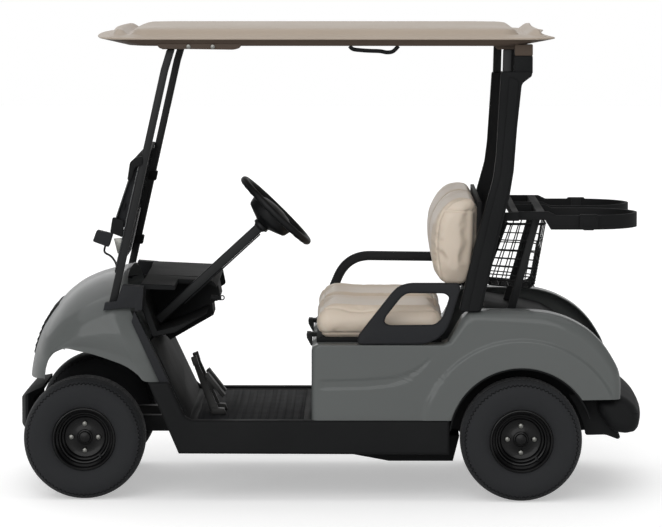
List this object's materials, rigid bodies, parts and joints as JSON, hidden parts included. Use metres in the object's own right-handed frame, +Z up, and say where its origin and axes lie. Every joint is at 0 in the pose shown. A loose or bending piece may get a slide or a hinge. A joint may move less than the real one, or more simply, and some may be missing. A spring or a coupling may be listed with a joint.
{
  "type": "golf cart",
  "caption": "Electric golf cart with a bench seat, flat sun roof on struts, fold-down windscreen, wire basket and rear bag rack.",
  "frame": {"origin": "on the ground, midway between the foremost and rearmost points, on the centre line", "axes": "+X forward, +Y to the driver's side (left), +Z up"},
  "size_m": [2.38, 1.19, 1.775],
  "materials": {
    "body_paint": "dark metallic grey gloss paint",
    "roof_plastic": "tan moulded plastic, fine grain",
    "black_plastic": "black moulded plastic, fine grain",
    "charcoal_plastic": "charcoal moulded plastic",
    "black_steel": "black powder coat",
    "tyre": "black rubber",
    "wheel_steel": "gloss black enamel",
    "vinyl": "light beige vinyl",
    "screen": "clear acrylic sheet",
    "mat": "ribbed black rubber",
    "plain_steel": "bare steel",
    "battery_case": "black polypropylene"
  },
  "bodies": {
    "chassis": {"armrest_left": "black_plastic", "armrest_right": "black_plastic", "bag_rack": "black_plastic", "basket": "black_steel", "battery_pack": "battery_case", "chassis_frame": "black_steel", "dashboard": "black_plastic", "floor_mat": "mat", "floor_pan": "black_plastic", "front_bumper": "black_plastic", "front_cowl": "body_paint", "front_struts": "black_steel", "front_suspension": "black_steel", "grab_handles": "black_plastic", "nose_grille": "black_plastic", "pedals": "black_steel", "post_covers": "black_plastic", "rack_supports": "black_steel", "rear_axle": "black_steel", "rear_body": "body_paint", "rear_bumper": "black_plastic", "rear_deck": "black_plastic", "rear_posts": "black_steel", "rear_suspension": "black_steel", "rocker_panels": "black_plastic", "roof": "roof_plastic", "roof_bearers": "black_steel", "seat_back_cushion": "vinyl", "seat_back_frame": "black_plastic", "seat_hinges": "plain_steel", "side_trims": "charcoal_plastic", "skid_pan": "black_plastic", "steering_column": "black_steel", "steering_rack": "black_steel", "windscreen_hinge": "black_plastic", "windscreen_lower": "screen", "windscreen_upper": "screen"},
    "steering_wheel": {"steering_wheel": "black_plastic"},
    "knuckle_left": {"knuckle_left": "black_steel"},
    "knuckle_right": {"knuckle_right": "black_steel"},
    "tie_rod": {"tie_rod": "plain_steel"},
    "wheel_front_left": {"rim_front_left": "wheel_steel", "tyre_front_left": "tyre"},
    "wheel_front_right": {"rim_front_right": "wheel_steel", "tyre_front_right": "tyre"},
    "wheel_rear_left": {"rim_rear_left": "wheel_steel", "tyre_rear_left": "tyre"},
    "wheel_rear_right": {"rim_rear_right": "wheel_steel", "tyre_rear_right": "tyre"},
    "seat_lid": {"seat_pan": "black_plastic", "seat_cushion": "vinyl"}
  },
  "joints": [
    {"name": "steering", "type": "hinge", "parent": "chassis", "child": "steering_wheel", "pos_m": [0.203, 0.27, 1.071], "axis": [-0.6997, 0, 0.7144], "range_deg": [-420, 420]},
    {"name": "steer_left", "type": "hinge", "parent": "chassis", "child": "knuckle_left", "pos_m": [0.92, 0.39, 0.2285], "axis": [0, 0, 1], "range_deg": [-30.5, 30.5]},
    {"name": "steer_right", "type": "hinge", "parent": "chassis", "child": "knuckle_right", "pos_m": [0.92, -0.39, 0.2285], "axis": [0, 0, 1], "range_deg": [-30.5, 30.5]},
    {"name": "rack_slide", "type": "slide", "parent": "chassis", "child": "tie_rod", "axis": [0, 1, 0], "range_m": [-0.0485, 0.0485]},
    {"name": "spin_front_left", "type": "hinge", "parent": "knuckle_left", "child": "wheel_front_left", "pos_m": [0.92, 0.435, 0.2285], "axis": [0, 1, 0], "continuous": true},
    {"name": "spin_front_right", "type": "hinge", "parent": "knuckle_right", "child": "wheel_front_right", "pos_m": [0.92, -0.435, 0.2285], "axis": [0, 1, 0], "continuous": true},
    {"name": "spin_rear_left", "type": "hinge", "parent": "chassis", "child": "wheel_rear_left", "pos_m": [-0.72, 0.49, 0.2285], "axis": [0, 1, 0], "continuous": true},
    {"name": "spin_rear_right", "type": "hinge", "parent": "chassis", "child": "wheel_rear_right", "pos_m": [-0.72, -0.49, 0.2285], "axis": [0, 1, 0], "continuous": true},
    {"name": "seat_tilt", "type": "hinge", "parent": "chassis", "child": "seat_lid", "pos_m": [0.078, 0, 0.5983], "axis": [0, 1, 0], "range_deg": [0, 62]}
  ],
  "couplings": [
    {"joint": "steer_left", "follows": "steering", "ratio": 0.071429},
    {"joint": "steer_right", "follows": "steering", "ratio": 0.071429},
    {"joint": "rack_slide", "follows": "steering", "m_per_rad": -0.006414}
  ]
}
